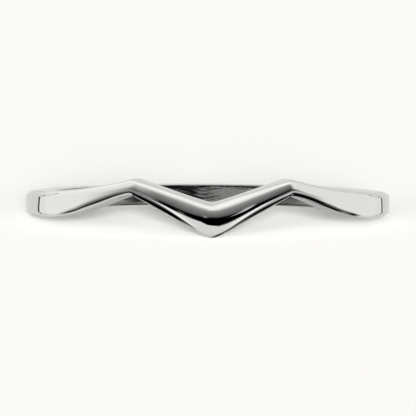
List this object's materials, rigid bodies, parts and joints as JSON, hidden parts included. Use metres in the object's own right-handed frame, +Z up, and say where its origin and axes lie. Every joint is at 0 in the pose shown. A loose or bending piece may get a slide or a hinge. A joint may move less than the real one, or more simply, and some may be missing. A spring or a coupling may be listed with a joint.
{
  "type": "chevron ring",
  "caption": "Plain polished finger ring whose front dips to a soft V between two raised shoulders, with a flat-faced shank behind.",
  "frame": {"origin": "on the surface that the ring lies on, under the middle of its bounding box", "axes": "+Z up from the surface, -Y towards the tip of the V, X from shoulder to shoulder. The ring lies on its side, leaned back 2.2 degrees on the V's tip and the rear of the shank, so the finger hole's axis leans that much towards +Y."},
  "size_m": [0.02, 0.0202, 0.003],
  "materials": {
    "polished_metal": "mirror-polished rhodium-plated silver, finer satin inside the finger hole"
  },
  "bodies": {
    "root": {"chevron_band": "polished_metal"}
  },
  "joints": []
}
